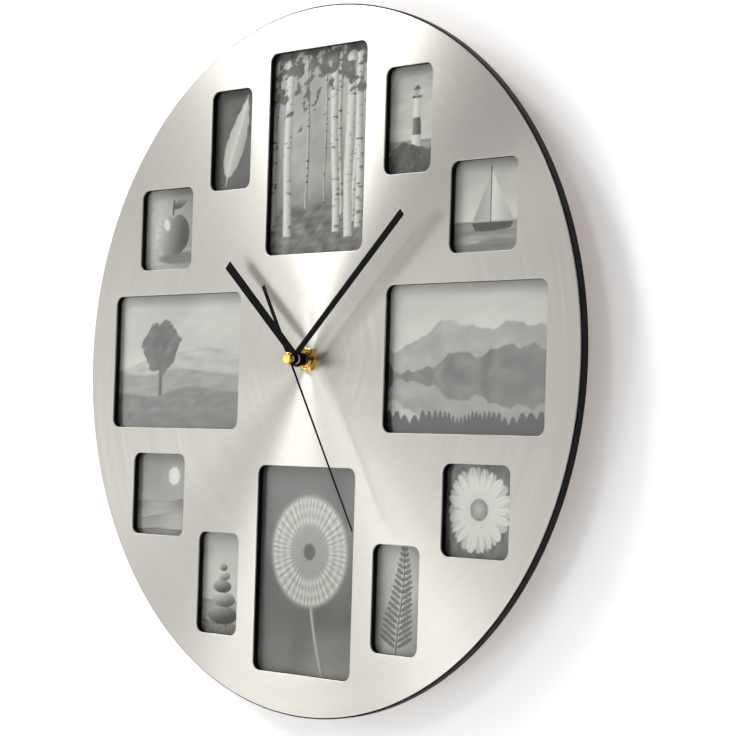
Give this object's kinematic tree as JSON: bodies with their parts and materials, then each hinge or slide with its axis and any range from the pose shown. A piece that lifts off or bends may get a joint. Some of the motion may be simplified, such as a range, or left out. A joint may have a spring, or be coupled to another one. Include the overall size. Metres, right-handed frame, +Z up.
{
  "type": "photo frame wall clock",
  "caption": "Round wall clock whose hour marks are framed photograph windows, with three hands on a geared quartz movement and a rear panel held by turn buttons.",
  "frame": {"origin": "on the flat back of the movement, where it meets the wall, on the axis of the hands", "axes": "+X to the right as the reader sees the clock, +Y into the wall, +Z up"},
  "size_m": [0.35, 0.0354, 0.35],
  "materials": {
    "brushed_aluminium": "circular brushed",
    "black_board": "painted black",
    "hardboard": "smooth side out",
    "clear_pane": "clear",
    "photo_paper": "black and white print",
    "plated_steel": "zinc plated",
    "case_plastic": "moulded",
    "plate_plastic": "moulded",
    "wheel_plastic": "moulded acetal",
    "rotor_plastic": "bonded magnet",
    "stator_iron": "soft iron",
    "coil_wire": "enamelled copper",
    "circuit_laminate": "solder mask",
    "battery_wrap": "plain sleeve",
    "contact_steel": "nickel plated",
    "brass": "turned",
    "hand_black": "satin black"
  },
  "bodies": {
    "clock": {"dial_plate": "brushed_aluminium", "frame_board": "black_board", "rear_panel": "hardboard", "turn_button_screws": "plated_steel", "movement_case": "case_plastic", "movement_cover": "case_plastic", "middle_plate": "plate_plastic", "stator": "stator_iron", "coil": "coil_wire", "circuit_board": "circuit_laminate", "quartz_crystal": "contact_steel", "battery": "battery_wrap", "positive_contact": "contact_steel", "negative_contact": "contact_steel", "threaded_bush": "brass", "fixing_nut": "brass", "window_pane_01": "clear_pane", "window_pane_02": "clear_pane", "window_pane_03": "clear_pane", "window_pane_04": "clear_pane", "window_pane_05": "clear_pane", "window_pane_06": "clear_pane", "window_pane_07": "clear_pane", "window_pane_08": "clear_pane", "window_pane_09": "clear_pane", "window_pane_10": "clear_pane", "window_pane_11": "clear_pane", "window_pane_12": "clear_pane", "photo_print_01": "photo_paper", "photo_print_02": "photo_paper", "photo_print_03": "photo_paper", "photo_print_04": "photo_paper", "photo_print_05": "photo_paper", "photo_print_06": "photo_paper", "photo_print_07": "photo_paper", "photo_print_08": "photo_paper", "photo_print_09": "photo_paper", "photo_print_10": "photo_paper", "photo_print_11": "photo_paper", "photo_print_12": "photo_paper"},
    "second": {"second_wheel": "wheel_plastic", "second_hand": "hand_black", "second_hand_cap": "brass"},
    "minute": {"minute_wheel": "wheel_plastic", "minute_hand_collet": "hand_black", "minute_hand": "hand_black"},
    "hour": {"hour_wheel": "wheel_plastic", "hour_hand_collet": "hand_black", "hour_hand": "hand_black"},
    "third": {"third_wheel": "wheel_plastic"},
    "intermediate": {"intermediate_wheel": "wheel_plastic"},
    "rotor": {"rotor": "rotor_plastic"},
    "motion": {"motion_wheel": "wheel_plastic"},
    "knob": {"set_knob": "case_plastic"},
    "turn_button_1": {"turn_button_1": "plated_steel"},
    "turn_button_2": {"turn_button_2": "plated_steel"},
    "turn_button_3": {"turn_button_3": "plated_steel"},
    "turn_button_4": {"turn_button_4": "plated_steel"},
    "turn_button_5": {"turn_button_5": "plated_steel"},
    "turn_button_6": {"turn_button_6": "plated_steel"}
  },
  "joints": [
    {"name": "second_turn", "type": "hinge", "parent": "clock", "child": "second", "pos_m": [0, 0, 0], "axis": [0, 1, 0], "continuous": true},
    {"name": "minute_turn", "type": "hinge", "parent": "clock", "child": "minute", "pos_m": [0, 0, 0], "axis": [0, 1, 0], "continuous": true},
    {"name": "hour_turn", "type": "hinge", "parent": "clock", "child": "hour", "pos_m": [0, 0, 0], "axis": [0, 1, 0], "continuous": true},
    {"name": "third_turn", "type": "hinge", "parent": "clock", "child": "third", "pos_m": [-0.00764, 0, 0.00764], "axis": [0, 1, 0], "continuous": true},
    {"name": "intermediate_turn", "type": "hinge", "parent": "clock", "child": "intermediate", "pos_m": [0.0045, 0, 0.00779], "axis": [0, 1, 0], "continuous": true},
    {"name": "rotor_turn", "type": "hinge", "parent": "clock", "child": "rotor", "pos_m": [0.01108, 0, 0.01019], "axis": [0, 1, 0], "continuous": true},
    {"name": "motion_turn", "type": "hinge", "parent": "clock", "child": "motion", "pos_m": [0.00719, 0, -0.00351], "axis": [0, 1, 0], "continuous": true},
    {"name": "knob_turn", "type": "hinge", "parent": "clock", "child": "knob", "pos_m": [0.0161, 0, -0.00225], "axis": [0, 1, 0], "continuous": true},
    {"name": "turn_button_1_turn", "type": "hinge", "parent": "clock", "child": "turn_button_1", "pos_m": [0, 0, 0.17106], "axis": [0, 1, 0], "range_deg": [0, 90]},
    {"name": "turn_button_2_turn", "type": "hinge", "parent": "clock", "child": "turn_button_2", "pos_m": [0.14814, 0, 0.08553], "axis": [0, 1, 0], "range_deg": [0, 90]},
    {"name": "turn_button_3_turn", "type": "hinge", "parent": "clock", "child": "turn_button_3", "pos_m": [0.14814, 0, -0.08553], "axis": [0, 1, 0], "range_deg": [0, 90]},
    {"name": "turn_button_4_turn", "type": "hinge", "parent": "clock", "child": "turn_button_4", "pos_m": [0, 0, -0.17106], "axis": [0, 1, 0], "range_deg": [0, 90]},
    {"name": "turn_button_5_turn", "type": "hinge", "parent": "clock", "child": "turn_button_5", "pos_m": [-0.14814, 0, -0.08553], "axis": [0, 1, 0], "range_deg": [0, 90]},
    {"name": "turn_button_6_turn", "type": "hinge", "parent": "clock", "child": "turn_button_6", "pos_m": [-0.14814, 0, 0.08553], "axis": [0, 1, 0], "range_deg": [0, 90]}
  ],
  "couplings": [
    {"joint": "minute_turn", "follows": "second_turn", "ratio": 0.016667},
    {"joint": "hour_turn", "follows": "second_turn", "ratio": 0.0013889},
    {"joint": "third_turn", "follows": "second_turn", "ratio": -0.125},
    {"joint": "intermediate_turn", "follows": "second_turn", "ratio": -5},
    {"joint": "rotor_turn", "follows": "second_turn", "ratio": 30},
    {"joint": "motion_turn", "follows": "second_turn", "ratio": -0.0055556},
    {"joint": "knob_turn", "follows": "second_turn", "ratio": 0.011111}
  ]
}
